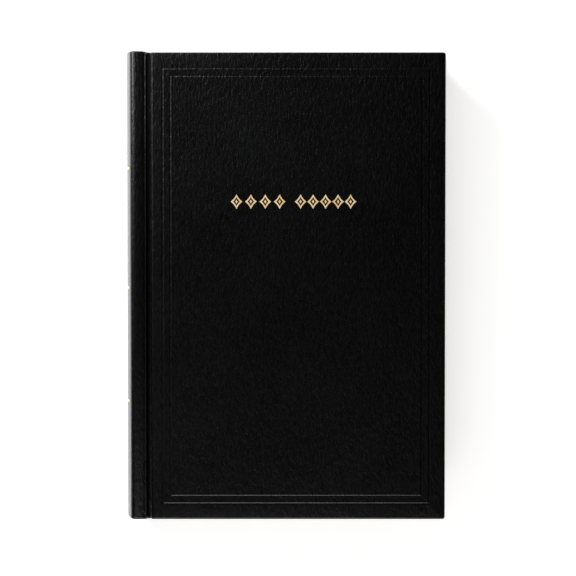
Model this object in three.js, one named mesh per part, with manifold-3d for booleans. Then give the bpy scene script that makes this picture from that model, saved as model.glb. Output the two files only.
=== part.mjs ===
// A thick case-bound book that lies closed on its back cover: boards in leatherette, a rounded
// spine, sewn sections, endpapers, and the hinges at which it opens.
// Millimetres. +X runs to the fore edge, +Y to the head, +Z up through the front cover.
// The origin is under the middle of the closed book.
import * as THREE from 'three';
import { mergeVertices } from 'three/addons/utils/BufferGeometryUtils.js';
import Module from 'manifold-3d';

const wasm = await Module();
wasm.setup();

// Closed book
const bookWidth = 151.5;
const bookHeight = 222;
const bookThickness = 36;
const midZ = bookThickness / 2;
const foreX = bookWidth / 2;
const spineHeadY = bookHeight / 2;
const fitGap = 0.05;

// Cover boards, and the leatherette that wraps them
const boardBackX = -63.6;
const headStep = 0.6;
const tailStep = 0.15;
const coverHeadY = spineHeadY - headStep;
const coverTailY = -spineHeadY + tailStep;
const coverCorner = 1.2;
const leatheretteThick = 0.4;
const leatheretteDepth = 2.85;
const turnInThick = 0.25;
const turnInWidth = 15;
const borderMargin = 7;
const borderBackMargin = 5.5;
const borderPitch = 3.4;
const borderLineWidth = 1.15;
const borderLineDepth = 0.25;

// Endpapers and the mull that ties the sections to the boards
const pastedownZ = 2.88;
const pastedownThick = 0.12;
const pastedownInset = 3.4;
const mullFlangeWidth = 24;
const mullFlangeThick = 0.2;
const mullHalfHeight = 94;
const flyleafZ = 3.06;
const flyleafThick = 0.14;
const flyleafBackX = -63;

// Sewn sections, rounded at the back and hollow at the fore edge
const sectionCount = 18;
const sectionGap = 0.03;
const blockHalfHeight = 108;
const blockLowZ = 3.25;
const blockHighZ = bookThickness - blockLowZ;
const blockBackX = -71.25;
const blockForeX = 68.75;
const roundRadius = 30.1;
const foldBulge = 0.25;

// What is glued and sewn to the back of the sections
const backLayerLowZ = 6;
const backLayerHighZ = bookThickness - backLayerLowZ;
const threadStations = [-84, -42, 0, 42, 84];
const threadWidth = 1.4;
const threadNear = 0.1;
const threadFar = 0.6;
const mullNear = 0.7;
const mullFar = 0.95;
const liningNear = 1;
const liningFar = 1.4;
const liningHalfHeight = 104;
const headbandY = 108.15;
const headbandDepth = 2.1;
const headbandNear = -1;
const headbandFar = 1.2;

// Spine of the case
const foilStand = 0.08;
const foilThick = 0.06;
const foilWidth = 1.2;
const foilStations = [-0.251, 0.004, 0.247];
const spineCrownX = -bookWidth / 2 + foilStand;
const spineRadius = 60;
const spineLowZ = 3.2;
const spineHighZ = bookThickness - spineLowZ;
const inlayNear = 0.45;
const inlayFar = 1.25;
const inlayHalfHeight = 108.5;

// Joint leatherette: the groove beside the board and the roll over the shoulder, as [x, z] of the
// front side's outer face
const jointThick = 0.45;
const jointOuter = [
  [-64.0, 34.3],
  [-64.9, 33.9],
  [-66.1, 34.75],
  [-67.3, 35.35],
  [-68.8, 35.66],
  [-70.6, 35.62],
  [-72.2, 35.25],
  [-73.2, 34.6],
  [-73.65, 33.75],
];

const blackLeatherette = { color: 0x141416, roughness: 0.55, metalness: 0 };
const greyBoard = { color: 0x8c8578, roughness: 0.9, metalness: 0 };
const creamPaper = { color: 0xeee6d2, roughness: 0.9, metalness: 0 };
const whitePaper = { color: 0xf2efe6, roughness: 0.85, metalness: 0 };
const openCloth = { color: 0xd8d0bd, roughness: 0.95, metalness: 0 };
const bandCloth = { color: 0x2a2624, roughness: 0.7, metalness: 0 };
const goldFoil = { color: 0xd9b36c, roughness: 0.35, metalness: 1 };
const sewingThread = { color: 0xe9e4d6, roughness: 0.8, metalness: 0 };

const book = new THREE.Group();

function addPiece(name, geometry, finish) {
  const mesh = new THREE.Mesh(geometry, new THREE.MeshStandardMaterial(finish));
  mesh.name = name;
  book.add(mesh);
}

function toSolid(geometry) {
  const bare = geometry.clone();
  bare.deleteAttribute('normal');
  bare.deleteAttribute('uv');
  const merged = mergeVertices(bare, 1e-4);
  return new wasm.Manifold(new wasm.Mesh({
    numProp: 3,
    vertProperties: new Float32Array(merged.attributes.position.array),
    triVerts: new Uint32Array(merged.index.array),
  }));
}

function toGeometry(solid) {
  const mesh = solid.getMesh();
  const geometry = new THREE.BufferGeometry();
  geometry.setAttribute('position', new THREE.BufferAttribute(mesh.vertProperties, 3));
  geometry.setIndex(new THREE.BufferAttribute(mesh.triVerts, 1));
  geometry.computeVertexNormals();
  return geometry;
}

// A plate that lies flat between two heights, with its four corners rounded
function plate(x0, x1, y0, y1, z0, z1, corner = 0) {
  const outline = new THREE.Shape();
  outline.moveTo(x0 + corner, y0);
  outline.lineTo(x1 - corner, y0);
  if (corner) outline.absarc(x1 - corner, y0 + corner, corner, -Math.PI / 2, 0);
  outline.lineTo(x1, y1 - corner);
  if (corner) outline.absarc(x1 - corner, y1 - corner, corner, 0, Math.PI / 2);
  outline.lineTo(x0 + corner, y1);
  if (corner) outline.absarc(x0 + corner, y1 - corner, corner, Math.PI / 2, Math.PI);
  outline.lineTo(x0, y0 + corner);
  if (corner) outline.absarc(x0 + corner, y0 + corner, corner, Math.PI, 1.5 * Math.PI);
  const options = { depth: z1 - z0, bevelEnabled: false, curveSegments: 4 };
  return new THREE.ExtrudeGeometry(outline, options).translate(0, 0, z0);
}

// A closed outline of [x, z] points, run along the height of the book
function alongHeight(points, y0, y1) {
  const outline = new THREE.Shape(points.map(([x, z]) => new THREE.Vector2(x, z)));
  const options = { depth: y1 - y0, bevelEnabled: false };
  return new THREE.ExtrudeGeometry(outline, options).rotateX(Math.PI / 2).translate(0, y1, 0);
}

const arcRise = (radius, z) => radius - Math.sqrt(radius ** 2 - (z - midZ) ** 2);
const blockBackAt = (z) => blockBackX + arcRise(roundRadius, z);
const blockForeAt = (z) => blockForeX + arcRise(roundRadius, z);
const spineFaceAt = (z) => spineCrownX + arcRise(spineRadius, z);
const flipSide = (points) => points.map(([x, z]) => [x, bookThickness - z]);

// A band of even thickness that follows a rounded face, from near to far off it
function arcBand(faceAt, near, far, lowZ, highZ, steps = 12) {
  const heights = Array.from({ length: steps + 1 }, (_, i) => lowZ + (highZ - lowZ) * i / steps);
  const inner = heights.map((z) => [faceAt(z) + near, z]);
  const outer = heights.map((z) => [faceAt(z) + far, z]).reverse();
  return [...inner, ...outer];
}

// The front cover's solids are drawn at their heights, and the back cover's mirror them
function coverPlate(side, x0, x1, y0, y1, depth0, depth1, corner) {
  const [z0, z1] = side === 'front'
    ? [bookThickness - depth1, bookThickness - depth0]
    : [depth0, depth1];
  return plate(x0, x1, y0, y1, z0, z1, corner);
}

function borderGroove(side, inset) {
  const x0 = boardBackX + borderBackMargin + inset;
  const x1 = foreX - borderMargin - inset;
  const y0 = coverTailY + borderMargin + inset;
  const y1 = coverHeadY - borderMargin - inset;
  const w = borderLineWidth;
  const ring = toSolid(coverPlate(side, x0, x1, y0, y1, -1, borderLineDepth));
  const middle = coverPlate(side, x0 + w, x1 - w, y0 + w, y1 - w, -2, borderLineDepth + 1);
  return ring.subtract(toSolid(middle));
}

function addCover(side) {
  const skin = leatheretteThick;
  const x0 = boardBackX + skin;
  const x1 = foreX - skin;
  const y0 = coverTailY + skin;
  const y1 = coverHeadY - skin;
  const insideDepth = leatheretteDepth - turnInThick;
  const pocket = coverPlate(side, x0, x1, y0, y1, skin, insideDepth);
  const window = coverPlate(side, x0, foreX - turnInWidth, coverTailY + turnInWidth,
    coverHeadY - turnInWidth, skin, leatheretteDepth + 1);
  const outside = coverPlate(side, boardBackX, foreX, coverTailY, coverHeadY, 0,
    leatheretteDepth, coverCorner);
  const wrap = toSolid(outside)
    .subtract(toSolid(pocket))
    .subtract(toSolid(window))
    .subtract(borderGroove(side, 0))
    .subtract(borderGroove(side, borderPitch));
  addPiece(`${side}_cover_leatherette`, toGeometry(wrap), blackLeatherette);

  const g = fitGap;
  const board = coverPlate(side, x0 + g, x1 - g, y0 + g, y1 - g, skin + g, insideDepth - g);
  addPiece(`${side}_board`, board, greyBoard);

  const flange = coverPlate(side, x0 + g, x0 + mullFlangeWidth, -mullHalfHeight, mullHalfHeight,
    insideDepth, insideDepth + mullFlangeThick);
  addPiece(`${side}_mull_flange`, flange, openCloth);

  const pastedown = coverPlate(side, boardBackX + 1, foreX - pastedownInset,
    coverTailY + pastedownInset, coverHeadY - pastedownInset, pastedownZ,
    pastedownZ + pastedownThick);
  addPiece(`${side}_pastedown`, pastedown, whitePaper);

  const flyleaf = coverPlate(side, flyleafBackX, blockForeAt(flyleafZ), -blockHalfHeight,
    blockHalfHeight, flyleafZ, flyleafZ + flyleafThick);
  addPiece(`${side}_flyleaf`, flyleaf, whitePaper);
}

function addJointLeatherette(side) {
  const inner = jointOuter.map(([x, z]) => [x, z - jointThick]).reverse();
  const outline = [...jointOuter, ...inner];
  const points = side === 'front' ? outline : flipSide(outline);
  addPiece(`${side}_joint_leatherette`, alongHeight(points, -spineHeadY, spineHeadY),
    blackLeatherette);
}

// Sections are numbered from the front of the book, so the first lies on top
function addSections() {
  const pitch = (blockHighZ - blockLowZ) / sectionCount;
  for (let i = 0; i < sectionCount; i += 1) {
    const highZ = blockHighZ - i * pitch;
    const lowZ = highZ - pitch + sectionGap;
    const middle = (lowZ + highZ) / 2;
    const outline = [
      [blockForeAt(lowZ), lowZ],
      [blockForeAt(middle), middle],
      [blockForeAt(highZ), highZ],
      [blockBackAt(highZ) + foldBulge, highZ],
      [blockBackAt(middle), middle],
      [blockBackAt(lowZ) + foldBulge, lowZ],
    ];
    const number = String(i + 1).padStart(2, '0');
    addPiece(`section_${number}`, alongHeight(outline, -blockHalfHeight, blockHalfHeight),
      creamPaper);
  }
}

function addBackLayers() {
  const layer = (near, far) => arcBand(blockBackAt, -near, -far, backLayerLowZ, backLayerHighZ);
  threadStations.forEach((y, i) => {
    const thread = alongHeight(layer(threadNear, threadFar), y - threadWidth / 2,
      y + threadWidth / 2);
    addPiece(`sewing_thread_${i + 1}`, thread, sewingThread);
  });
  addPiece('mull', alongHeight(layer(mullNear, mullFar), -mullHalfHeight, mullHalfHeight),
    openCloth);
  addPiece('spine_lining', alongHeight(layer(liningNear, liningFar), -liningHalfHeight,
    liningHalfHeight), greyBoard);
  const band = layer(headbandNear, headbandFar);
  addPiece('headband', alongHeight(band, headbandY, headbandY + headbandDepth), bandCloth);
  addPiece('tailband', alongHeight(band, -headbandY - headbandDepth, -headbandY), bandCloth);
}

function addSpine() {
  const layer = (near, far, lowZ, highZ) => arcBand(spineFaceAt, near, far, lowZ, highZ);
  addPiece('spine_leatherette', alongHeight(layer(0, leatheretteThick, spineLowZ, spineHighZ),
    -spineHeadY, spineHeadY), blackLeatherette);
  const inlay = layer(inlayNear, inlayFar, spineLowZ + 0.5, spineHighZ - 0.5);
  addPiece('spine_inlay', alongHeight(inlay, -inlayHalfHeight, inlayHalfHeight), greyBoard);
  foilStations.forEach((share, i) => {
    const y = -share * bookHeight;
    const rule = layer(-foilStand, foilThick - foilStand, spineLowZ + 1, spineHighZ - 1);
    addPiece(`spine_rule_${i + 1}`, alongHeight(rule, y - foilWidth / 2, y + foilWidth / 2),
      goldFoil);
  });
}

addCover('front');
addCover('back');
addJointLeatherette('front');
addJointLeatherette('back');
addSections();
addBackLayers();
addSpine();

export default book;
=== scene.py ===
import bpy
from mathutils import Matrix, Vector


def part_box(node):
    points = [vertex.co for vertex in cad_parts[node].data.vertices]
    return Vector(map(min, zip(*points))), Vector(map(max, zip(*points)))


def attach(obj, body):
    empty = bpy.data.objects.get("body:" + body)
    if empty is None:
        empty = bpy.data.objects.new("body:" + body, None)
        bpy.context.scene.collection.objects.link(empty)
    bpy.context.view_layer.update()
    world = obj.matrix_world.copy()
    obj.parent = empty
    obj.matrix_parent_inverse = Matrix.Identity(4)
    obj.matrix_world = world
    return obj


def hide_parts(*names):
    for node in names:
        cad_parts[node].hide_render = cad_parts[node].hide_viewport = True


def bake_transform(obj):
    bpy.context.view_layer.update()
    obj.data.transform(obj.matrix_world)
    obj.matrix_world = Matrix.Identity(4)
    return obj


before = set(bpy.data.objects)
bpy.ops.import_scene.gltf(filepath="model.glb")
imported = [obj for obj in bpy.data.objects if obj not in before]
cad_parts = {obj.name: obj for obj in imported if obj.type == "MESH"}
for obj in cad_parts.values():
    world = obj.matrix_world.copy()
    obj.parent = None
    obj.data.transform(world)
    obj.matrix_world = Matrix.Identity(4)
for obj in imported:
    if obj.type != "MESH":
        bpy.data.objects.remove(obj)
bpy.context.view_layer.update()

import math

import bmesh
import bpy
from mathutils import Vector

mm = 0.001  # sizes below are in millimetres, and every mesh is made in metres


# ---- reading the frame, small geometry helpers

def boxOf(node):
    low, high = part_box(node)
    return low / mm, high / mm


coverLow, coverHigh = boxOf("front_cover_leatherette")
backLow, backHigh = boxOf("back_cover_leatherette")
spineLow, spineHigh = boxOf("spine_leatherette")
sectionNames = sorted(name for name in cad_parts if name.startswith("section_"))

book = {
    "thick": coverHigh.z,
    "midZ": coverHigh.z / 2,
    "blockRadius": 30.1,   # of the rounded back and the hollow fore edge
    "spineRadius": 60,     # of the spine's outer face, seen from the head
    "blockBackX": min(boxOf(name)[0].x for name in sectionNames),
    "blockForeX": min(boxOf(name)[1].x for name in sectionNames),
    "spineX": spineLow.x,
}


def arcRise(radius, z):
    return radius - math.sqrt(radius ** 2 - (z - book["midZ"]) ** 2)


def blockBackAt(z):
    return book["blockBackX"] + arcRise(book["blockRadius"], z)


def blockForeAt(z):
    return book["blockForeX"] + arcRise(book["blockRadius"], z)


def spineFaceAt(z):
    return book["spineX"] + arcRise(book["spineRadius"], z)


def backSide(z):
    return book["thick"] - z


def addMesh(name, verts, faces, finishes, slots=None, uvs=None, sharp=35):
    mesh = bpy.data.meshes.new(name)
    mesh.from_pydata([Vector(v) * mm for v in verts], [], faces)
    for finish in finishes:
        mesh.materials.append(finish)
    if slots:
        mesh.polygons.foreach_set("material_index", slots)
    if uvs:
        layer = mesh.uv_layers.new(name="UVMap")
        for polygon, corners in zip(mesh.polygons, uvs):
            for loop, uv in zip(polygon.loop_indices, corners):
                layer.data[loop].uv = uv
    piece = bpy.data.objects.new(name, mesh)
    bpy.context.scene.collection.objects.link(piece)
    cleanMesh(mesh)
    mesh.polygons.foreach_set("use_smooth", [True] * len(mesh.polygons))
    mesh.set_sharp_from_angle(angle=math.radians(sharp))
    return piece


def cleanMesh(mesh):
    work = bmesh.new()
    work.from_mesh(mesh)
    bmesh.ops.remove_doubles(work, verts=work.verts, dist=1e-7)
    bmesh.ops.dissolve_degenerate(work, edges=work.edges, dist=1e-8)
    bmesh.ops.recalc_face_normals(work, faces=work.faces)
    work.to_mesh(mesh)
    work.free()


# rings of equal length are joined one to the next, and both ends are closed
def loftRings(rings):
    count = len(rings[0])
    verts = [point for ring in rings for point in ring]
    faces = [list(range(count))]
    for i in range(len(rings) - 1):
        for j in range(count):
            k = (j + 1) % count
            faces.append([i * count + j, i * count + k, (i + 1) * count + k, (i + 1) * count + j])
    faces.append(list(range((len(rings) - 1) * count, len(rings) * count)))
    return verts, faces


# a smooth run through points, with each span cut into equal steps
def smoothPath(points, steps):
    ends = [2 * Vector(points[0]) - Vector(points[1])]
    run = ends + [Vector(p) for p in points] + [2 * Vector(points[-1]) - Vector(points[-2])]
    path = []
    for i in range(1, len(run) - 2):
        a, b, c, d = run[i - 1:i + 3]
        for k in range(steps):
            t = k / steps
            path.append(0.5 * (2 * b + (c - a) * t + (2 * a - 5 * b + 4 * c - d) * t ** 2
                               + (3 * b - a - 3 * c + d) * t ** 3))
    return path + [run[-2]]


def spaced(start, end, steps):
    return [start + (end - start) * i / steps for i in range(steps + 1)]


# ---- materials

# a socket that takes part in Python expressions
class Signal:
    def __init__(self, finish, socket):
        self.finish = finish
        self.socket = socket

    def combine(self, operation, first, second):
        return self.finish.node("ShaderNodeMath", {"operation": operation},
                                {0: first, 1: second})

    def __add__(self, other):
        return self.combine("ADD", self, other)

    def __radd__(self, other):
        return self.combine("ADD", other, self)

    def __mul__(self, other):
        return self.combine("MULTIPLY", self, other)

    def __rmul__(self, other):
        return self.combine("MULTIPLY", other, self)

    def __gt__(self, other):
        return self.combine("GREATER_THAN", self, other)

    def __lt__(self, other):
        return self.combine("LESS_THAN", self, other)

    def __mod__(self, other):
        return self.combine("FLOORED_MODULO", self, other)


# a material under construction
class Finish:
    def __init__(self, name):
        self.material = bpy.data.materials.new(name)
        self.material.use_nodes = True
        self.tree = self.material.node_tree
        self.shader = self.tree.nodes["Principled BSDF"]

    def node(self, kind, settings=None, inputs=None, out=0):
        made = self.tree.nodes.new(kind)
        for key, value in (settings or {}).items():
            if key == "stops":
                self.setStops(made.color_ramp, value)
            else:
                setattr(made, key, value)
        self.feed(made, inputs or {})
        return Signal(self, made.outputs[out])

    def setStops(self, ramp, stops):
        while len(ramp.elements) < len(stops):
            ramp.elements.new(1)
        for element, (place, color) in zip(ramp.elements, stops):
            element.position = place
            element.color = (*color, 1) if len(color) == 3 else color

    def feed(self, node, inputs):
        for key, value in inputs.items():
            if isinstance(value, Signal):
                self.tree.links.new(value.socket, node.inputs[key])
            else:
                node.inputs[key].default_value = value

    def surface(self, **inputs):
        named = {"baseColor": "Base Color", "roughness": "Roughness", "metallic": "Metallic",
                 "coat": "Coat Weight", "coatRoughness": "Coat Roughness", "normal": "Normal",
                 "specular": "Specular IOR Level"}
        self.feed(self.shader, {named[key]: value for key, value in inputs.items()})
        return self.material

    def place(self, scale=(1, 1, 1), source="Object"):
        where = self.node("ShaderNodeTexCoord", out=source)
        return self.node("ShaderNodeMapping", None, {"Vector": where, "Scale": scale})

    def noise(self, where, scale, detail=3, rough=0.55, distortion=0):
        return self.node("ShaderNodeTexNoise", None,
                         {"Vector": where, "Scale": scale, "Detail": detail, "Roughness": rough,
                          "Distortion": distortion})

    def cells(self, where, scale, feature="F1", out="Distance"):
        return self.node("ShaderNodeTexVoronoi", {"feature": feature},
                         {"Vector": where, "Scale": scale}, out)

    def fade(self, value, low, high, toLow=0, toHigh=1):
        return self.node("ShaderNodeMapRange", {"clamp": True},
                         {"Value": value, "From Min": low, "From Max": high, "To Min": toLow,
                          "To Max": toHigh})

    def mixColor(self, share, first, second):
        made = self.tree.nodes.new("ShaderNodeMix")
        made.data_type = "RGBA"
        self.feed(made, {0: share, 6: first, 7: second})
        return Signal(self, made.outputs[2])

    def bump(self, height, strength, distance, below=None):
        inputs = {"Height": height, "Strength": strength, "Distance": distance}
        if below:
            inputs["Normal"] = below
        return self.node("ShaderNodeBump", None, inputs)


def rgba(r, g, b):
    return (r, g, b, 1)


leatherLook = {
    "deep": rgba(0.00015, 0.00018, 0.00028),
    "light": rgba(0.0006, 0.00072, 0.0013),
    "grainScale": 900,      # creases in a metre
    "pebbleShare": 1.7,     # pebbles in each crease
    "poreScale": 2600,
    "cloudScale": 24,
    "stretch": (1.0, 0.42, 1.0),   # the grain runs along the height
    "roughLow": 0.25,
    "roughHigh": 0.38,
    "creaseStrength": 0.7,
    "creaseDepth": 0.00034,
    "fineStrength": 0.4,
    "fineDepth": 0.0001,
    "specular": 0.4,
    "coat": 0.3,
    "coatRoughness": 0.22,
}


def makeLeatherette():
    look = leatherLook
    f = Finish("blackLeatherette")
    here = f.place()
    along = f.place(look["stretch"])
    creases = f.noise(along, look["grainScale"], 4, 0.6, 0.4)
    pebbles = f.cells(along, look["grainScale"] * look["pebbleShare"], "SMOOTH_F1")
    pores = f.noise(along, look["poreScale"], 2)
    clouds = f.noise(here, look["cloudScale"], 3)
    grain = creases * 0.6 + pebbles * 0.45 + pores * 0.2
    tone = f.fade(creases * 0.55 + clouds * 0.6, 0.42, 0.78)
    rough = f.fade(grain + clouds * 0.25, 0.35, 1.0, look["roughLow"], look["roughHigh"])
    coarse = f.bump(creases, look["creaseStrength"], look["creaseDepth"])
    fine = f.bump(pebbles * 0.7 + pores * 0.4, look["fineStrength"], look["fineDepth"], coarse)
    return f.surface(baseColor=f.mixColor(tone, look["deep"], look["light"]), roughness=rough,
                     normal=fine, specular=look["specular"], coat=look["coat"],
                     coatRoughness=look["coatRoughness"])


goldLook = {
    "bright": rgba(0.77, 0.51, 0.24),
    "pale": rgba(0.86, 0.68, 0.42),
    "metallic": 0.35,
    "speckleScale": 1900,
    "patchScale": 220,
    "roughLow": 0.34,
    "roughHigh": 0.55,
}


def makeGoldFoil():
    look = goldLook
    f = Finish("goldFoil")
    here = f.place()
    speckle = f.noise(here, look["speckleScale"], 3)
    patches = f.noise(here, look["patchScale"], 2)
    rough = f.fade(speckle, 0.3, 0.7, look["roughLow"], look["roughHigh"])
    color = f.mixColor(f.fade(patches, 0.35, 0.65), look["bright"], look["pale"])
    return f.surface(baseColor=color, metallic=look["metallic"], roughness=rough,
                     normal=f.bump(speckle, 0.25, 0.00004))


paperLook = {
    "page": rgba(0.63, 0.6, 0.51),
    "pageShade": rgba(0.57, 0.54, 0.45),
    "edge": rgba(0.68, 0.64, 0.55),
    "edgeDark": rgba(0.4, 0.36, 0.28),
    "ink": rgba(0.16, 0.15, 0.145),
    "inkStrength": 0.55,
    "leafLines": (14, 5200, 1),     # noise along and across the leaves' cut edges
    "bundleLines": (9, 900, 1),
    "wordLength": (560, 303, 1),
    "lineStep": 3.3,
    "barLow": 0.3,                  # where a bar starts and ends within its line
    "barHigh": 0.72,
    "columnLeft": (-42.5, 8.8),   # clear of the bend at the back
    "columnRight": (12.7, 64),
    "textTop": 94,
    "textBottom": -94,
}


# the cut edges of the leaves, with lines that run along each leaf
def makeLeafEdges():
    f = Finish("leafEdges")
    stack = f.place((30, 1, 1), "UV")
    leaves = f.node("ShaderNodeTexNoise", None,
                    {"Vector": f.place(paperLook["leafLines"], "UV"), "Scale": 1, "Detail": 3,
                     "Roughness": 0.7})
    bundles = f.node("ShaderNodeTexNoise", None,
                     {"Vector": f.place(paperLook["bundleLines"], "UV"), "Scale": 1,
                      "Detail": 2})
    soil = f.noise(stack, 3, 2)
    tone = f.fade(leaves * 0.6 + bundles * 0.5 + soil * 0.15, 0.42, 0.82)
    color = f.mixColor(tone, paperLook["edgeDark"], paperLook["edge"])
    return f.surface(baseColor=color, roughness=0.85, specular=0.2,
                     normal=f.bump(leaves + bundles, 0.6, 0.00018))


# thin printed paper: two plain columns of soft grey bars stand for lines of small type
def makePages():
    look = paperLook
    f = Finish("printedPages")
    where = f.node("ShaderNodeTexCoord", out="UV")
    x = f.node("ShaderNodeSeparateXYZ", None, {"Vector": where})
    y = Signal(f, x.socket.node.outputs[1])
    fibres = f.noise(f.place((1, 1, 1), "UV"), 900, 4)
    row = (y * (1 / (look["lineStep"] * mm))) % 1
    bar = (row > look["barLow"]) * (row < look["barHigh"])
    inside = (y < look["textTop"] * mm) * (y > look["textBottom"] * mm)
    columns = sum((x > low * mm) * (x < high * mm)
                  for low, high in (look["columnLeft"], look["columnRight"]))
    words = f.node("ShaderNodeTexNoise", None,
                   {"Vector": f.place(look["wordLength"], "UV"), "Scale": 1, "Detail": 1})
    ink = bar * inside * columns * f.fade(words, 0.4, 0.46) * look["inkStrength"]
    paper = f.mixColor(f.fade(fibres, 0.35, 0.7), look["pageShade"], look["page"])
    return f.surface(baseColor=f.mixColor(ink, paper, look["ink"]), roughness=0.8, specular=0.25,
                     normal=f.bump(fibres, 0.15, 0.00005))


def makePlainPaper(name, light, shade, scale=800, rough=0.85):
    f = Finish(name)
    here = f.place()
    fibres = f.noise(here, scale, 5, 0.65)
    clouds = f.noise(here, 18, 3)
    color = f.mixColor(f.fade(fibres * 0.6 + clouds * 0.4, 0.35, 0.68), shade, light)
    return f.surface(baseColor=color, roughness=rough, specular=0.25,
                     normal=f.bump(fibres, 0.25, 0.00006))


def makeWovenCloth(name, light, shade, threads):
    f = Finish(name)
    here = f.place()
    warp = f.node("ShaderNodeTexWave", {"bands_direction": "Y"},
                  {"Vector": here, "Scale": threads, "Distortion": 0.4, "Detail Scale": 2}, 1)
    weft = f.node("ShaderNodeTexWave", {"bands_direction": "Z"},
                  {"Vector": here, "Scale": threads, "Distortion": 0.4, "Detail Scale": 2}, 1)
    weave = warp * 0.5 + weft * 0.5
    color = f.mixColor(f.fade(weave, 0.2, 0.8), shade, light)
    return f.surface(baseColor=color, roughness=0.95, specular=0.15,
                     normal=f.bump(weave, 0.6, 0.00015))


leatherette = makeLeatherette()
goldFoil = makeGoldFoil()
leafEdges = makeLeafEdges()
printedPages = makePages()
endpaper = makePlainPaper("endpaper", rgba(0.66, 0.64, 0.57), rgba(0.6, 0.575, 0.5))
greyBoard = makePlainPaper("greyBoard", rgba(0.34, 0.31, 0.27), rgba(0.22, 0.2, 0.17), 500)
kraftPaper = makePlainPaper("kraftPaper", rgba(0.42, 0.31, 0.19), rgba(0.33, 0.24, 0.14), 600)
mullCloth = makeWovenCloth("mullCloth", rgba(0.74, 0.69, 0.57), rgba(0.4, 0.36, 0.28), 320)
creamThread = makePlainPaper("creamThread", rgba(0.72, 0.66, 0.53), rgba(0.5, 0.45, 0.35), 2500)
blackThread = makePlainPaper("blackThread", rgba(0.016, 0.015, 0.015), rgba(0.008, 0.008, 0.008),
                             2500, 0.6)
print("materials made")


# ---- cover boards in leatherette

coverLook = {
    "skin": 0.45,
    "turnIn": 15,
    "pocketFloor": 2.6,      # depth of the board's inner face, under the turned-in leatherette
    "edgeRound": 0.95,
    "hingeRound": 1.3,
    "foreCorner": 1.2,
    "hingeCorner": 0.5,
    "cornerSteps": 5,
    "roundSteps": 8,
    "borderMargin": 7.0,
    "hingeMargin": 5.1,
    "borderPitch": 3.6,
    # how a tooled line is pressed in: distance across it, and depth
    "lineShape": [(-0.07, 0), (0, 0), (0.1, 0.13), (0.16, 0.14), (0.6, 0.14), (0.72, 0.12),
                  (1.0, 0.01), (1.1, -0.01), (1.3, 0)],
}


def coverRing(low, high, hingeInset, inset, z):
    x0, x1 = low.x + hingeInset, high.x - inset
    y0, y1 = low.y + inset, high.y - inset
    middles = [(x1, y1, 0), (x0, y1, 90), (x0, y0, 180), (x1, y0, 270)]
    ring = []
    for cornerX, cornerY, turn in middles:
        whole = coverLook["foreCorner"] if cornerX == x1 else coverLook["hingeCorner"]
        corner = max(whole - inset, 0.12)
        cx = cornerX - corner if cornerX == x1 else cornerX + corner
        cy = cornerY - corner if cornerY == y1 else cornerY + corner
        for k in range(coverLook["cornerSteps"] + 1):
            angle = math.radians(turn + 90 * k / coverLook["cornerSteps"])
            ring.append((cx + corner * math.cos(angle), cy + corner * math.sin(angle), z))
    return ring


def coverProfile(thick):
    look = coverLook
    skin, floor, turnIn = look["skin"], look["pocketFloor"], look["turnIn"]
    # each is (inset at the hinge, inset at the other edges, depth from the outer face)
    profile = [(skin, skin, skin - 0.05), (skin, skin, floor), (skin, turnIn, floor),
               (skin, turnIn, thick), (0.3, 0.55, thick), (0.12, 0.2, thick - 0.1),
               (0, 0, thick - 0.4)]
    ratio = look["hingeRound"] / look["edgeRound"]
    for k in range(look["roundSteps"] + 1):
        angle = math.radians(90 * k / look["roundSteps"])
        inset = look["edgeRound"] * (1 - math.cos(angle))
        depth = look["edgeRound"] * (1 - math.sin(angle))
        profile.append((inset * ratio, inset, depth))
    for line in range(2):
        for across, depth in look["lineShape"]:
            step = line * look["borderPitch"] + across
            profile.append((look["hingeMargin"] + step, look["borderMargin"] + step, depth))
    last = profile[-1]
    profile.append((last[0] + 1, last[1] + 1, 0))
    return profile


def makeCover(side, low, high, outward):
    thick = high.z - low.z
    outerZ = high.z if outward > 0 else low.z
    rings = []
    for hingeInset, inset, depth in coverProfile(thick):
        rings.append(coverRing(low, high, hingeInset, inset, outerZ - outward * depth))
    verts, faces = loftRings(rings)
    piece = addMesh(side + "CoverLeatherette", verts, faces, [leatherette])
    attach(piece, side + "_cover")
    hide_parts(side + "_cover_leatherette")


makeCover("front", coverLow, coverHigh, 1)
makeCover("back", backLow, backHigh, -1)
print("covers made")


# ---- spine and joints in leatherette

spineLook = {
    "endRound": 1.1,
    "flange": 12,        # width of the turn-in at head and tail
    "arcSteps": 36,
    "pathSteps": 5,
    "stepStart": -67.5,  # from here the ends step in to the boards' edges
    "stepWidth": 3.6,
    # skin thickness and depth of the turn-in for each strip
    "spineSkin": (0.42, 1.75),
    "jointSkin": (0.5, 1.2),
    "edgeSkin": (0.4, 0.8),
    "backSkin": (0.45, 0.9),
    # from the spine's arc over the shoulder roll into the groove, as x and z of the front side
    "shoulder": [(-73.6, 33.75), (-73.15, 34.7), (-72.3, 35.36), (-71.2, 35.63), (-69.6, 35.58)],
    "groove": [(-69.6, 35.58), (-67.7, 35.36), (-66.5, 35.1), (-66.02, 35.13), (-65.65, 34.7),
               (-65.35, 34.15), (-64.9, 33.84)],
    "boardEdge": [(-64.9, 33.84), (-64.4, 33.7), (-64.0, 33.63), (-63.7, 33.62)],
}


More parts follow.
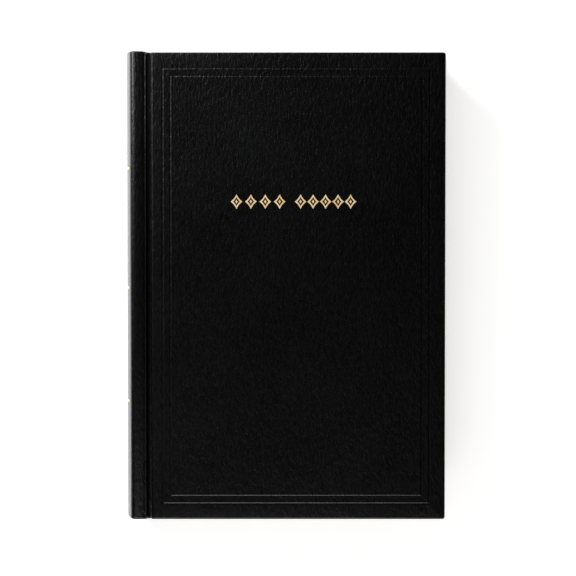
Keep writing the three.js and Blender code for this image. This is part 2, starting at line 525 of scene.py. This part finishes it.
# the leatherette's section along the height: flat outside, round at the ends and turned in
def skinRing(place, inward, skin, flangeDepth):
    r = spineLook["endRound"]
    share = min(max((place.x - spineLook["stepStart"]) / spineLook["stepWidth"], 0), 1)
    outline = []
    for half, side in ((spineHigh.y + (coverHigh.y - spineHigh.y) * share, 1),
                       (-spineLow.y + (spineLow.y - coverLow.y) * share, -1)):
        flange = half - spineLook["flange"]
        end = [(half - r * (1 - math.sin(math.radians(a))), r * (1 - math.cos(math.radians(a))))
               for a in (0, 20, 40, 60, 80)]
        end += [(half - 0.1, r + 0.15), (half - 0.5, flangeDepth), (flange, flangeDepth),
                (flange, skin)]
        outline += end if side > 0 else [(-y, depth) for y, depth in reversed(end)]
    return [(place.x + inward.x * depth, y, place.y + inward.y * depth)
            for y, depth in outline]


def skinStrip(name, path, flip, layers):
    skin, flangeDepth = layers
    rings = []
    for i, point in enumerate(path):
        before, after = path[max(i - 1, 0)], path[min(i + 1, len(path) - 1)]
        tangent = (after - before).normalized()
        inward = Vector((tangent.y, -tangent.x))
        if flip:
            point = Vector((point.x, backSide(point.y)))
            inward = Vector((inward.x, -inward.y))
        rings.append(skinRing(point, inward, skin, flangeDepth))
    verts, faces = loftRings(rings)
    piece = addMesh(name, verts, faces, [leatherette], sharp=50)
    return piece


def onPlane(point, flip):
    return (point[0] * mm, 0, (backSide(point[1]) if flip else point[1]) * mm)


arcTop = spineHigh.z
spineArc = [Vector((spineFaceAt(z), z))
            for z in spaced(spineLow.z, spineHigh.z, spineLook["arcSteps"])]
spinePiece = skinStrip("spineLeatherette", spineArc, False, spineLook["spineSkin"])
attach(spinePiece, "spine")
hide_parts("spine_leatherette")

shoulderPoints = [(spineFaceAt(arcTop), arcTop)] + spineLook["shoulder"]
pathSteps = spineLook["pathSteps"]
for side, flip in (("front", False), ("back", True)):
    node = side + "_joint_leatherette"
    roll = skinStrip(side + "ShoulderRoll", smoothPath(shoulderPoints, pathSteps), flip,
                     spineLook["jointSkin"])
    onPlane(shoulderPoints[0], flip)
    onPlane(shoulderPoints[3], flip)
    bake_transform(roll)
    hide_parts(node)
    if side == "front":
        groove = skinStrip("frontJointGroove", smoothPath(spineLook["groove"], pathSteps), flip,
                           spineLook["jointSkin"])
        onPlane(spineLook["groove"][1], flip)
        onPlane(spineLook["groove"][-1], flip)
        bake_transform(groove)
        edge = skinStrip("frontJointEdge", smoothPath(spineLook["boardEdge"], pathSteps), flip,
                         spineLook["edgeSkin"])
        onPlane(spineLook["boardEdge"][0], flip)
        onPlane(spineLook["boardEdge"][-1], flip)
        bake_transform(edge)
        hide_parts(node)
        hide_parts(node)
    else:
        points = spineLook["groove"] + spineLook["boardEdge"][1:]
        groove = skinStrip("backJointGroove", smoothPath(points, pathSteps), flip,
                           spineLook["backSkin"])
        onPlane(points[1], flip)
        onPlane(points[-1], flip)
        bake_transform(groove)
        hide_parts(node)
print("spine and joints made")


# ---- sewn sections and endpapers

blockLook = {
    "bendStart": 2,      # how far in from the back the leaves begin and end their bend
    "bendWidth": 30,
    "bendSteps": 26,
    "flatSteps": 5,
    "rows": 4,
    "foldBulge": 0.25,   # how far a fold's middle stands out
    "edgeWander": 0.06,  # how unevenly the fore edges line up
}


# a stack of leaves as a closed block: stations run across it and rows through its thickness
def leafBlock(name, low, high, backAt, foreAt, rows, finishes):
    bend = blockLook["bendWidth"]
    levels = spaced(low.z, high.z, rows)
    grid = []
    for z in levels:
        x0, x1 = backAt(z), foreAt(z)
        grid.append(spaced(x0, x0 + bend, blockLook["bendSteps"])
                    + spaced(x0 + bend, x1, blockLook["flatSteps"])[1:])
    stations = len(grid[0])
    verts, faces, slots, uvs = [], [], [], []
    ends = (low.y, high.y)
    for y in ends:
        for k, z in enumerate(levels):
            verts += [(x, y, z) for x in grid[k]]

    def at(end, row, station):
        return (end * (rows + 1) + row) * stations + station

    def addFace(corners, slot, axes):
        faces.append(corners)
        slots.append(slot)
        uvs.append([(verts[c][axes[0]] * mm, verts[c][axes[1]] * mm) for c in corners])

    for end in (0, 1):
        for k in range(rows):
            for j in range(stations - 1):
                addFace([at(end, k, j), at(end, k, j + 1), at(end, k + 1, j + 1),
                         at(end, k + 1, j)], 1, (0, 2))
    for j in range(stations - 1):
        for k in (0, rows):
            addFace([at(0, k, j), at(0, k, j + 1), at(1, k, j + 1), at(1, k, j)], 0, (0, 1))
    for k in range(rows):
        for j in (0, stations - 1):
            addFace([at(0, k, j), at(1, k, j), at(1, k + 1, j), at(0, k + 1, j)], 1, (1, 2))
    return addMesh(name, verts, faces, finishes, slots, uvs)


def makeSection(index, name):
    low, high = boxOf(name)
    middle, half = (low.z + high.z) / 2, (high.z - low.z) / 2

    def foldAt(z):
        return blockBackAt(z) + blockLook["foldBulge"] * ((z - middle) / half) ** 2

    wander = blockLook["edgeWander"] * math.sin(index * 2.4)
    piece = leafBlock("sewn" + name.capitalize().replace("_", ""), low, high, foldAt,
                      lambda z: blockForeAt(z) + wander, blockLook["rows"],
                      [printedPages, leafEdges])
    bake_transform(piece)
    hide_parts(name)


for index, name in enumerate(sectionNames):
    makeSection(index, name)

# the endpapers bend in the groove, between their root and where the board begins
endpaperLook = {"rootX": -66.8, "pastedownRootX": -66.6, "freeX": -63.9, "boardX": -63.7}


def makeEndpapers(side):
    low, high = boxOf(side + "_flyleaf")
    root = endpaperLook["rootX"]
    flyleaf = leafBlock(side + "Flyleaf", low, high, lambda z: root, lambda z: high.x, 1,
                        [endpaper, endpaper])
    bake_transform(flyleaf)
    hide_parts(side + "_flyleaf")
    low, high = boxOf(side + "_pastedown")
    root = endpaperLook["pastedownRootX"]
    pastedown = leafBlock(side + "Pastedown", low, high, lambda z: root, lambda z: high.x, 1,
                          [endpaper, endpaper])
    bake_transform(pastedown)
    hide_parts(side + "_pastedown")


makeEndpapers("front")
makeEndpapers("back")
print("leaves made")


# ---- geometry node helpers

# a geometry node tree with named inputs for its sizes
class Tree:
    def __init__(self, name, sizes):
        self.tree = bpy.data.node_groups.new(name, "GeometryNodeTree")
        self.tree.interface.new_socket("Geometry", in_out="INPUT",
                                       socket_type="NodeSocketGeometry")
        self.sizes = {}
        for label, (kind, value) in sizes.items():
            socket = self.tree.interface.new_socket(label, in_out="INPUT",
                                                    socket_type="NodeSocket" + kind)
            self.sizes[label] = (socket.identifier, value)
        self.tree.interface.new_socket("Geometry", in_out="OUTPUT",
                                       socket_type="NodeSocketGeometry")
        self.entry = self.tree.nodes.new("NodeGroupInput")
        self.exit = self.tree.nodes.new("NodeGroupOutput")

    def node(self, kind, settings=None, inputs=None):
        made = self.tree.nodes.new(kind)
        for key, value in (settings or {}).items():
            setattr(made, key, value)
        for key, value in (inputs or {}).items():
            if isinstance(value, bpy.types.NodeSocket):
                self.tree.links.new(value, made.inputs[key])
            else:
                made.inputs[key].default_value = value
        return made

    def close(self, geometry, material):
        real = self.node("GeometryNodeRealizeInstances", None, {0: geometry})
        painted = self.node("GeometryNodeSetMaterial", None,
                            {"Geometry": real.outputs[0], "Material": material})
        self.tree.links.new(painted.outputs[0], self.exit.inputs[0])

    # runs the tree on a carrier and gives back a plain mesh
    def grow(self, name, carrier):
        modifier = carrier.modifiers.new(name, "NODES")
        modifier.node_group = self.tree
        for identifier, value in self.sizes.values():
            modifier[identifier] = value
        bpy.context.view_layer.update()
        evaluated = carrier.evaluated_get(bpy.context.evaluated_depsgraph_get())
        mesh = bpy.data.meshes.new_from_object(evaluated)
        mesh.name = name
        bpy.data.objects.remove(carrier)
        piece = bpy.data.objects.new(name, mesh)
        bpy.context.scene.collection.objects.link(piece)
        mesh.polygons.foreach_set("use_smooth", [True] * len(mesh.polygons))
        mesh.set_sharp_from_angle(angle=math.radians(40))
        return piece


def addPath(name, points):
    mesh = bpy.data.meshes.new(name)
    mesh.from_pydata([Vector(p) * mm for p in points], [(i, i + 1) for i in range(len(points) - 1)],
                     [])
    carrier = bpy.data.objects.new(name, mesh)
    bpy.context.scene.collection.objects.link(carrier)
    return carrier


# ---- headband and tailband: a cord wound with two colours of thread

bandLook = {
    "radius": 0.85,
    "threadRadius": 0.24,
    "turns": 56,
    "turnSides": 12,
    "threadSides": 6,
    "stripeTurns": 2.0,   # turns of one colour before the other takes over
    "lowZ": 5.2,
    "offBack": 0.15,
    "pathSteps": 24,
}


def makeBandTree(name, material, offset):
    tree = Tree(name, {"turns": ("Int", bandLook["turns"]),
                       "radius": ("Float", bandLook["radius"] * mm),
                       "threadRadius": ("Float", bandLook["threadRadius"] * mm)})
    sizes = tree.entry.outputs
    path = tree.node("GeometryNodeMeshToCurve", None, {"Mesh": sizes["Geometry"]})
    points = tree.node("GeometryNodeCurveToPoints", None,
                       {"Curve": path.outputs[0], "Count": sizes["turns"]})
    loop = tree.node("GeometryNodeCurvePrimitiveCircle", None,
                     {"Resolution": bandLook["turnSides"], "Radius": sizes["radius"]})
    strand = tree.node("GeometryNodeCurvePrimitiveCircle", None,
                       {"Resolution": bandLook["threadSides"], "Radius": sizes["threadRadius"]})
    turn = tree.node("GeometryNodeCurveToMesh", None,
                     {"Curve": loop.outputs[0], "Profile Curve": strand.outputs[0]})
    order = tree.node("GeometryNodeInputIndex")
    stripe = tree.node("ShaderNodeMath", {"operation": "MODULO"},
                       {0: order.outputs[0], 1: 2 * bandLook["stripeTurns"]})
    chosen = tree.node("FunctionNodeCompare", {"data_type": "FLOAT", "operation": "LESS_THAN"},
                       {0: stripe.outputs[0], 1: bandLook["stripeTurns"]})
    picked = chosen.outputs[0]
    if offset:
        picked = tree.node("FunctionNodeBooleanMath", {"operation": "NOT"},
                           {0: picked}).outputs[0]
    wound = tree.node("GeometryNodeInstanceOnPoints", None,
                      {"Points": points.outputs["Points"], "Selection": picked,
                       "Instance": turn.outputs[0], "Rotation": points.outputs["Rotation"]})
    tree.close(wound.outputs[0], material)
    return tree


def makeBand(label, node, y):
    heights = spaced(bandLook["lowZ"], backSide(bandLook["lowZ"]), bandLook["pathSteps"])
    points = [(blockBackAt(z) + bandLook["offBack"] + bandLook["radius"], y, z) for z in heights]
    for tint, material, offset in (("Black", blackThread, False), ("Cream", creamThread, True)):
        name = label + tint + "Thread"
        piece = makeBandTree(name + "Tree", material, offset).grow(name, addPath(name, points))
        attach(piece, "spine")
        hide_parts(node)


bandY = (boxOf("headband")[0].y + boxOf("headband")[1].y) / 2
makeBand("headband", "headband", bandY)
makeBand("tailband", "tailband", -bandY)
print("bands wound")


# ---- gold: a row of plain lozenges on the front, and three rules across the spine

ornamentLook = {
    "height": 6.9,
    "width": 5.5,
    "sideWall": 1.156,    # from the outline to the hole at the sides, and at the tips
    "tipWall": 1.292,
    "waist": 0.14,        # how far the sides curve in
    "holeWaist": 0.1,
    "heart": (0.62, 0.95, 0.05),   # half width, half height and waist of the filled middle
    "sideSteps": 6,
    "thick": 0.07,
    "proud": 0.035,
    "y": 40.0,
    "firstRun": (-23.1, 6.8, 4),     # first centre, pitch and count
    "secondRun": (7.2, 5.9, 5),
}


def prism(work, outline, z0, z1, hole=None):
    layers = [[work.verts.new((x, y, z)) for x, y in outline] for z in (z0, z1)]
    holes = [[work.verts.new((x, y, z)) for x, y in hole] for z in (z0, z1)] if hole else None
    count = len(outline)
    for i in range(count):
        k = (i + 1) % count
        work.faces.new((layers[0][i], layers[0][k], layers[1][k], layers[1][i]))
        if holes:
            work.faces.new((holes[0][i], holes[1][i], holes[1][k], holes[0][k]))
            for layer in (0, 1):
                work.faces.new((layers[layer][i], layers[layer][k], holes[layer][k],
                                holes[layer][i]))
    if not holes:
        work.faces.new(layers[0])
        work.faces.new(layers[1])


def lozengeOutline(halfWidth, halfHeight, waist):
    points = []
    for k in range(4):
        a, b = math.radians(90 * k), math.radians(90 * k + 90)
        tip = Vector((halfWidth * math.cos(a), halfHeight * math.sin(a)))
        after = Vector((halfWidth * math.cos(b), halfHeight * math.sin(b)))
        for step in range(ornamentLook["sideSteps"]):
            t = step / ornamentLook["sideSteps"]
            point = tip.lerp(after, t) * (1 - waist * math.sin(math.pi * t))
            points.append((point.x * mm, point.y * mm))
    return points


def makeOrnament():
    look = ornamentLook
    w, h = look["width"] / 2, look["height"] / 2
    hole = lozengeOutline(w - look["sideWall"], h - look["tipWall"], look["holeWaist"])
    work = bmesh.new()
    depth = look["thick"] * mm
    prism(work, lozengeOutline(w, h, look["waist"]), 0, depth, hole)
    prism(work, lozengeOutline(*look["heart"]), 0, depth)
    bmesh.ops.recalc_face_normals(work, faces=work.faces)
    mesh = bpy.data.meshes.new("ornament")
    work.to_mesh(mesh)
    work.free()
    ornament = bpy.data.objects.new("ornament", mesh)
    bpy.context.scene.collection.objects.link(ornament)
    return ornament


def makeOrnamentRow():
    look = ornamentLook
    ornament = makeOrnament()
    sizes = {"ornament": ("Object", ornament)}
    for label, (first, pitch, count) in (("first", look["firstRun"]), ("second", look["secondRun"])):
        sizes[label + "Start"] = ("Vector", Vector((first, look["y"], coverHigh.z
                                                    + look["proud"] - look["thick"])) * mm)
        sizes[label + "Pitch"] = ("Float", pitch * mm)
        sizes[label + "Count"] = ("Int", count)
    tree = Tree("ornamentRowTree", sizes)
    inputs = tree.entry.outputs
    rows = []
    for label in ("first", "second"):
        step = tree.node("ShaderNodeCombineXYZ", None, {"X": inputs[label + "Pitch"]})
        rows.append(tree.node("GeometryNodeMeshLine", None,
                              {"Count": inputs[label + "Count"],
                               "Start Location": inputs[label + "Start"],
                               "Offset": step.outputs[0]}))
    joined = tree.node("GeometryNodeJoinGeometry")
    for row in rows:
        tree.tree.links.new(row.outputs[0], joined.inputs[0])
    source = tree.node("GeometryNodeObjectInfo", None, {"Object": inputs["ornament"]})
    placed = tree.node("GeometryNodeInstanceOnPoints", None,
                       {"Points": joined.outputs[0], "Instance": source.outputs["Geometry"]})
    tree.close(placed.outputs[0], goldFoil)
    carrier = addPath("frontOrnamentRow", [(0, 0, 0), (1, 0, 0)])
    piece = tree.grow("frontOrnamentRow", carrier)
    bpy.data.objects.remove(ornament)
    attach(piece, "front_cover")


makeOrnamentRow()


ruleLook = {"sunk": 0.1, "rim": 0.02, "proud": 0.05, "bevel": 0.12, "steps": 32}


def makeSpineRule(name):
    low, high = boxOf(name)
    rings = []
    for z in spaced(low.z, high.z, ruleLook["steps"]):
        x = spineFaceAt(z)
        inner, rim, face = x + ruleLook["sunk"], x - ruleLook["rim"], x - ruleLook["proud"]
        rings.append([(inner, low.y, z), (rim, low.y, z), (face, low.y + ruleLook["bevel"], z),
                      (face, high.y - ruleLook["bevel"], z), (rim, high.y, z),
                      (inner, high.y, z)])
    verts, faces = loftRings(rings)
    piece = addMesh(name.replace("spine_rule_", "spineGoldRule"), verts, faces, [goldFoil])
    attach(piece, "spine")
    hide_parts(name)


for name in sorted(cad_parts):
    if name.startswith("spine_rule_"):
        makeSpineRule(name)
print("gold laid")


# ---- finishes of the inner CAD pieces

innerFinishes = {
    "board": greyBoard, "inlay": greyBoard, "lining": kraftPaper, "mull": mullCloth,
    "sewing_thread": creamThread,
}
for name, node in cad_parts.items():
    for key, finish in innerFinishes.items():
        if key in name:
            node.data.materials.clear()
            node.data.materials.append(finish)


# ---- floor, light and camera

lightLook = {
    "key": {"place": (-0.44, 0.38, 0.44), "size": 0.32, "power": 5.0},
    "low": {"place": (-0.12, -0.74, 0.8), "size": 0.5, "power": 2.6},
    "worldStrength": 0.58,
}
floorLook = {
    "half": 4,
    "shade": rgba(0.9, 0.9, 0.9),
    "light": rgba(0.92, 0.92, 0.92),
    "glow": 0.36,   # a faintly lit table keeps the ground pale right up to the book
}


def makeFloor():
    mesh = bpy.data.meshes.new("floor")
    half = floorLook["half"]
    mesh.from_pydata([(-half, -half, 0), (half, -half, 0), (half, half, 0), (-half, half, 0)], [],
                     [(0, 1, 2, 3)])
    floor = bpy.data.objects.new("floor", mesh)
    bpy.context.scene.collection.objects.link(floor)
    f = Finish("paleFloor")
    cloud = f.noise(f.place(), 3, 2)
    color = f.mixColor(cloud, floorLook["shade"], floorLook["light"])
    f.feed(f.shader, {"Emission Color": rgba(1, 1, 1), "Emission Strength": floorLook["glow"]})
    mesh.materials.append(f.surface(baseColor=color, roughness=0.9, specular=0.1))


def addSoftLight(name, place, size, power):
    data = bpy.data.lights.new(name, "AREA")
    data.shape = "SQUARE"
    data.size = size
    data.energy = power
    lamp = bpy.data.objects.new(name, data)
    bpy.context.scene.collection.objects.link(lamp)
    lamp.location = place
    lamp.visible_camera = False
    lamp.rotation_euler = (-Vector(place)).to_track_quat("-Z", "Y").to_euler()


def lightStudio():
    addSoftLight("keyLight", **lightLook["key"])
    addSoftLight("lowLight", **lightLook["low"])
    world = bpy.data.worlds.new("studio")
    bpy.context.scene.world = world
    world.use_nodes = True
    backdrop = world.node_tree.nodes["Background"]
    backdrop.inputs["Color"].default_value = rgba(1, 1, 1)
    # the camera sees a white room, and the room lights the scene more softly than that
    links, nodes = world.node_tree.links, world.node_tree.nodes
    path = nodes.new("ShaderNodeLightPath")
    strength = nodes.new("ShaderNodeMapRange")
    strength.inputs["To Min"].default_value = lightLook["worldStrength"]
    strength.inputs["To Max"].default_value = 1
    links.new(path.outputs["Is Camera Ray"], strength.inputs["Value"])
    links.new(strength.outputs[0], backdrop.inputs["Strength"])
    # the leatherette mirrors the lamps and the floor, not an all-white room
    world.cycles_visibility.glossy = False
    bpy.context.scene.view_settings.view_transform = "Standard"


# the span is what the camera takes in across, at the height of the front cover
cameraLook = {"distance": 1281, "tilt": 2.7, "aim": (1.25, -0.85), "spanAcross": 272.5,
              "sensor": 36, "farEnd": 20}


def placeCamera():
    look = cameraLook
    data = bpy.data.cameras.new("camera")
    data.sensor_width = look["sensor"]
    data.lens = look["sensor"] * look["distance"] / look["spanAcross"]
    data.clip_end = look["farEnd"]
    camera = bpy.data.objects.new("camera", data)
    bpy.context.scene.collection.objects.link(camera)
    tilt = math.radians(look["tilt"])
    aim = Vector((look["aim"][0], look["aim"][1], book["thick"])) * mm
    back = Vector((0, math.sin(tilt), math.cos(tilt)))
    camera.location = aim + back * look["distance"] * mm
    camera.rotation_euler = (math.radians(-look["tilt"]), 0, 0)
    bpy.context.scene.camera = camera


makeFloor()
lightStudio()
placeCamera()
print("studio ready")
